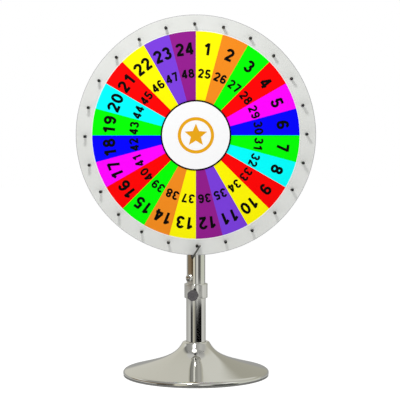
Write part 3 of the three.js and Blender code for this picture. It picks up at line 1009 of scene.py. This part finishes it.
def stroke_band(points, half):
    """The two sides of a band along the points."""
    left, right = [], []
    ring = (points[0] - points[-1]).length < 1e-6
    last = len(points) - 1
    for i, point in enumerate(points):
        before = points[last - 1] if ring and i == 0 else points[max(i - 1, 0)]
        after = points[1] if ring and i == last else points[min(i + 1, last)]
        way = (after - before).normalized()
        aside = Vector((-way.y, way.x)) * half
        left.append(point + aside)
        right.append(point - aside)
    return left, right, ring


def stroke_solid(name, points):
    """One stroke as a thin closed solid."""
    left, right, ring = stroke_band(points, STROKE / 2)
    if ring:
        left, right = left[:-1], right[:-1]
    count = len(left)
    top = 2 * count
    vertices = [Vector((p.x, p.y, z)) for z in (0, INK_DEPTH) for p in left + right]
    faces = []
    for i in range(count if ring else count - 1):
        n = (i + 1) % count
        a, b, c, d = i, n, count + n, count + i
        faces += [(a, b, c, d), (top + d, top + c, top + b, top + a)]
        faces += [(a, top + a, top + b, b), (c, top + c, top + d, d)]
    if not ring:
        faces.append((0, count, top + count, top))
        faces.append((count - 1, top + count - 1, top + 2 * count - 1, 2 * count - 1))
    piece = new_piece(name, vertices, faces)
    face_out(piece)
    return piece


def digit_mesh(digit):
    """One digit, its strokes joined into a single thin solid."""
    strokes = DIGITS[digit]
    solid = stroke_solid(f"digit_{digit}", strokes[0])
    for stroke in strokes[1:]:
        combine(solid, stroke_solid("stroke", stroke), "UNION")
    mesh = solid.data
    bpy.data.objects.remove(solid)
    return mesh


def make_numbers():
    """Both rings of numbers as one printed layer, each number upright towards the rim."""
    digits = {digit: digit_mesh(digit) for digit in DIGITS}
    outer_ring = (1, 221.5 * MM, 30.5 * MM)
    inner_ring = (1 + SECTORS, 159 * MM, 22 * MM)
    print_offset = Vector((0.8 * MM, 0, -2.2 * MM))
    work = bmesh.new()
    for first, radius, height in (outer_ring, inner_ring):
        for k in range(SECTORS):
            clockwise = 2 * math.pi * (k + 0.5) / SECTORS
            spot = on_wheel(radius, clockwise, SHEET_FRONT) + print_offset
            turn = Matrix.Rotation(clockwise, 4, "Y") @ Matrix.Rotation(math.pi / 2, 4, "X")
            text = str(first + k)
            width = DIGIT_ADVANCE * (len(text) - 1) + DIGIT_WIDTH
            for i, digit in enumerate(text):
                shift = Matrix.Translation((i * DIGIT_ADVANCE - width / 2, -0.5, 0))
                matrix = Matrix.Translation(spot) @ turn @ Matrix.Scale(height, 4) @ shift
                before = len(work.verts)
                work.from_mesh(digits[digit])
                work.verts.ensure_lookup_table()
                bmesh.ops.transform(work, matrix=matrix, verts=work.verts[before:])
    piece = piece_from(work, "printed_numbers")
    finish_piece(piece, printed("ink_black", (0.0015, 0.0015, 0.0015)), "wheel", "printed_sheet")


# ---------------------------------------------------------------- centre disc

def make_centre_disc():
    """The white disc over the hub, and the black line round it, centred on the disc's edge."""
    bevel = 0.3 * MM
    half_line = 1.9 * MM
    thickness = DISC_BACK - DISC_FRONT
    white_radius = DISC_RADIUS - half_line
    at_disc = facing_front(Vector((0, DISC_BACK, WHEEL.z)))
    outline = rounded([
        (0, 0),
        (white_radius, 0),
        (white_radius, thickness, bevel),
        (0, thickness),
    ], 0.1 * MM, closed=False)
    disc = place(turned("centre_disc_sheet", outline, 256, closed=False), at_disc)
    finish_piece(disc, printed("ink_white", (0.95, 0.95, 0.955)), "wheel", "centre_sheet", "centre_disc")

    line = ring_outline(white_radius, DISC_RADIUS + half_line, 0, thickness, bevel)
    border = place(turned("centre_border", line, 256), at_disc)
    finish_piece(border, printed("ink_border", (0.001, 0.001, 0.001)), "wheel", "centre_sheet")


def make_emblem():
    """A plain five-pointed star in a ring, in gold ink."""
    gold = printed("ink_gold", srgb(232, 166, 22))
    depth = 0.2 * MM
    outer, inner = 30 * MM, 13.5 * MM
    ring, ring_width = 46 * MM, 8 * MM
    on_disc = facing_front(Vector((0, DISC_FRONT, WHEEL.z)))
    points = []
    for k in range(10):
        radius = outer if k % 2 == 0 else inner
        angle = math.pi / 2 + k * math.pi / 5
        points.append((radius * math.cos(angle), radius * math.sin(angle)))
    star = place(prism("emblem_star", points, depth), on_disc)
    finish_piece(star, gold, "wheel", "centre_sheet")
    circle_outline = ring_outline(ring - ring_width, ring, 0, depth, 0.05 * MM)
    circle = place(turned("emblem_ring", circle_outline, 128), on_disc)
    finish_piece(circle, gold, "wheel", "centre_sheet")


# ---------------------------------------------------------------- studio

def make_camera():
    """Solved from the board's circle and the rim's ellipse: level with the wheel, looking slightly down."""
    camera = bpy.data.objects.new("camera", bpy.data.cameras.new("camera"))
    bpy.context.scene.collection.objects.link(camera)
    tilt_down = math.radians(2.838)
    camera.data.sensor_width = 36
    camera.data.lens = 117.342
    camera.data.clip_end = 50
    camera.location = (0.0104, -3.365, WHEEL.z)
    camera.rotation_euler = (math.pi / 2 - tilt_down, 0, 0)
    bpy.context.scene.camera = camera


def make_floor():
    """A pale floor that reflections don't see, so that the chrome shows the room."""
    mesh = bpy.data.meshes.new("floor")
    half = 12
    corners = [(-half, -half, 0), (half, -half, 0), (half, half, 0), (-half, half, 0)]
    mesh.from_pydata(corners, [], [(0, 1, 2, 3)])
    floor = bpy.data.objects.new("floor", mesh)
    bpy.context.scene.collection.objects.link(floor)
    material = new_material("pale_floor", (0.9, 0.9, 0.9), 0.9, specular=0)
    shader = material.node_tree.nodes["Principled BSDF"]
    shader.inputs["Emission Color"].default_value = (1, 1, 1, 1)
    shader.inputs["Emission Strength"].default_value = 0.69
    mesh.materials.append(material)
    floor.visible_glossy = False


def make_key_light():
    """A small soft light above, left and in front: it gives the pegs their shadows."""
    light = bpy.data.lights.new("key", "AREA")
    light.energy = 7.3
    light.size = 0.2
    key = bpy.data.objects.new("key", light)
    bpy.context.scene.collection.objects.link(key)
    key.location = (-0.25, -1.05, 1.5)
    aim = WHEEL - key.location
    key.rotation_euler = aim.to_track_quat("-Z", "Y").to_euler()


def ramp_node(nodes, stops):
    """A colour ramp from (degrees round from the camera side, colour) stops."""
    ramp = nodes.new("ShaderNodeValToRGB")
    elements = ramp.color_ramp.elements
    while len(elements) > 1:
        elements.remove(elements[-1])
    for i, (degrees, color) in enumerate(stops):
        position = (degrees + 180) / 360
        element = elements[0] if i == 0 else elements.new(position)
        element.position = position
        element.color = (*color, 1)
    return ramp


def grey(value):
    return (value, value, value * 0.97)


CREAM = (0.63, 0.62, 0.56)
DIM_CREAM = (0.6, 0.59, 0.52)
PALE = (0.69, 0.69, 0.64)
SAND = (0.41, 0.4, 0.34)

# What the chrome sees round about, as (degrees, colour) stops: from behind the object,
# past its left, to the camera side at 0, past its right, and to behind again.
LOW_SHADES = [
    (-180, grey(0.3)), (-90, grey(0.08)), (-50, grey(0.15)), (-25, grey(0.9)), (15, grey(0.9)),
    (30, grey(0.45)), (80, grey(0.35)), (130, grey(0.45)), (180, grey(0.3)),
]
TABLE_STRIPES = [
    (-180, grey(0.4)), (-150, grey(0.43)), (-120, grey(0.48)), (-98, grey(0.55)), (-85, grey(0.68)),
    (-68, grey(0.52)), (-65, grey(0.5)), (-62, grey(0.02)), (-47, grey(0.02)), (-44, grey(0.16)),
    (-36, grey(0.18)), (-32, (0.62, 0.6, 0.5)), (-25, (0.62, 0.6, 0.5)), (-20, (0.38, 0.37, 0.3)),
    (-12, (0.33, 0.32, 0.26)), (-8, grey(0.2)), (-2, grey(0.1)), (4, grey(0.06)), (8, grey(0)),
    (67, grey(0)), (72, grey(0.7)), (82, grey(0.64)), (105, grey(0.64)), (120, grey(0.5)), (180, grey(0.4)),
]
COLLAR_STRIPES = [
    (-180, grey(0.4)), (-140, grey(0.42)), (-99, grey(0.5)), (-73, grey(0.47)), (-50, grey(0.5)),
    (-29, grey(0.72)), (-16, grey(0.7)), (-10, grey(0.3)), (0, grey(0.35)), (10, grey(0.83)),
    (20, grey(0.75)), (29, grey(0.5)), (50, grey(0.4)), (60, grey(0.45)), (70, grey(0.72)),
    (99, grey(0.66)), (118, grey(0.66)), (126, grey(0.5)), (180, grey(0.4)),
]
ROOM_STRIPES = [
    (-180, grey(0.36)), (-124, grey(0.42)), (-115, (0.2, 0.15, 0.09)), (-80, (0.26, 0.19, 0.12)),
    (-45, (0.09, 0.06, 0.03)), (-36, (0.08, 0.055, 0.03)), (-31, (0.8, 0.77, 0.64)),
    (-16, (0.7, 0.67, 0.55)), (-10, grey(0.2)), (3, grey(0.3)), (8, grey(0.85)), (21, grey(0.7)),
    (28, grey(0.22)), (42, grey(0.1)), (58, grey(0.12)), (64, (0.6, 0.62, 0.53)),
    (118, (0.66, 0.68, 0.6)), (126, grey(0.35)), (180, grey(0.36)),
]
HIGH_SHADES = [
    (-180, CREAM), (-120, (0.66, 0.65, 0.57)), (-100, grey(0.8)), (-80, grey(0.33)), (-40, grey(0.33)),
    (-20, grey(0.45)), (-5, grey(0.35)), (20, grey(0.45)), (40, grey(0.6)), (50, grey(1.25)),
    (60, grey(1.25)), (75, grey(0.6)), (110, (0.5, 0.49, 0.42)), (150, SAND), (174, SAND),
    (178, CREAM), (180, CREAM),
]
TOP_SHADES = [
    (-180, CREAM), (-120, DIM_CREAM), (-100, grey(0.18)), (-80, grey(0.33)), (-42, grey(0.37)),
    (-34, grey(1.07)), (-20, grey(1.07)), (-12, grey(0.39)), (10, grey(0.39)), (45, grey(0.54)),
    (80, grey(0.47)), (110, DIM_CREAM), (140, PALE), (176, PALE), (180, CREAM),
]
OVERHEAD_SHADES = [
    (-180, grey(0.6)), (-120, grey(0.6)), (-90, grey(0.36)), (90, grey(0.36)), (180, grey(0.6)),
]
# Upwards from LOW_SHADES, each with the two heights between which it takes over.
BANDS = (
    (TABLE_STRIPES, -0.215, -0.18),
    (COLLAR_STRIPES, -0.131, -0.1255),
    (ROOM_STRIPES, -0.1135, -0.1115),
    (HIGH_SHADES, 0.08, 0.2),
    (TOP_SHADES, 0.5, 0.62),
    (OVERHEAD_SHADES, 0.88, 0.94),
)


def make_world():
    """White behind the object, even light on matt surfaces, and a striped room for the chrome to reflect."""
    world = bpy.data.worlds.new("studio")
    bpy.context.scene.world = world
    world.use_nodes = True
    nodes, links = world.node_tree.nodes, world.node_tree.links
    nodes.clear()

    def math_node(operation, first, second=None):
        node = nodes.new("ShaderNodeMath")
        node.operation = operation
        for socket, value in zip(node.inputs, (first, second)):
            if isinstance(value, (int, float)):
                socket.default_value = value
            elif value is not None:
                links.new(value, socket)
        return node.outputs[0]

    def step(value, low, high):
        node = nodes.new("ShaderNodeMapRange")
        node.interpolation_type = "SMOOTHSTEP"
        links.new(value, node.inputs["Value"])
        node.inputs["From Min"].default_value = low
        node.inputs["From Max"].default_value = high
        return node.outputs["Result"]

    def mix(factor, first, second):
        node = nodes.new("ShaderNodeMix")
        node.data_type = "RGBA"
        links.new(factor, node.inputs["Factor"])
        for socket, value in ((node.inputs[6], first), (node.inputs[7], second)):
            if isinstance(value, tuple):
                socket.default_value = (*value, 1)
            else:
                links.new(value, socket)
        return node.outputs[2]

    direction = nodes.new("ShaderNodeTexCoord").outputs["Generated"]
    split = nodes.new("ShaderNodeSeparateXYZ")
    links.new(direction, split.inputs[0])
    x, y, z = split.outputs
    azimuth = math_node("ARCTAN2", x, math_node("MULTIPLY", y, -1))
    turn = math_node("ADD", math_node("DIVIDE", azimuth, 2 * math.pi), 0.5)

    def band_color(stops):
        ramp = ramp_node(nodes, stops)
        links.new(turn, ramp.inputs["Fac"])
        return ramp.outputs["Color"]

    around = band_color(LOW_SHADES)
    for stops, low, high in BANDS:
        around = mix(step(z, low, high), around, band_color(stops))

    softbox_way = Vector((-0.12, -0.3, 0.95)).normalized()
    dot = nodes.new("ShaderNodeVectorMath")
    dot.operation = "DOT_PRODUCT"
    links.new(direction, dot.inputs[0])
    dot.inputs[1].default_value = softbox_way
    outer, inner = math.radians(12), math.radians(7)
    in_softbox = step(dot.outputs["Value"], math.cos(outer), math.cos(inner))
    seen = mix(in_softbox, around, (2.0, 2.0, 1.95))

    rays = nodes.new("ShaderNodeLightPath")
    even = 0.36
    matt = mix(rays.outputs["Is Glossy Ray"], (even, even, even), seen)
    shown = mix(rays.outputs["Is Camera Ray"], matt, (1.0, 1.0, 1.0))
    background = nodes.new("ShaderNodeBackground")
    output = nodes.new("ShaderNodeOutputWorld")
    links.new(shown, background.inputs["Color"])
    links.new(background.outputs[0], output.inputs["Surface"])


def set_view():
    """Printed colours keep their full strength."""
    settings = bpy.context.scene.view_settings
    settings.view_transform = "Standard"
    settings.look = "None"
    settings.exposure = 0
    settings.gamma = 1


# ---------------------------------------------------------------- build

def keep_inner_parts():
    for node in ("base_washer", "base_bolt", "tube_plug", "hub_saddle_front", "bearing_spacer", "axle_bolt"):
        keep_node(node, ZINC)
    for node in ("bearing_front_inner", "bearing_rear_inner", "bearing_front_outer", "bearing_rear_outer"):
        keep_node(node, GROUND_STEEL)
    for node in ("clamp_pad", "mast_foot_plug"):
        keep_node(node, BLACK_PLASTIC)
    keep_node("ballast_disc", IRON)


make_camera()
make_floor()
make_key_light()
make_world()
set_view()

make_bell()
make_foot_ring()
make_lower_tube()
make_collar()
make_clamp_screw()
make_clamp_knob()
make_mast()
make_mast_cap()
make_stop_screw()
make_axle_nut()
make_axle_washers()
make_hub()
make_hub_screws()
make_flapper_post()
make_flapper_cap()
make_flapper_strip()
make_board()
make_pegs()
make_sheet()
make_numbers()
make_centre_disc()
make_emblem()
keep_inner_parts()
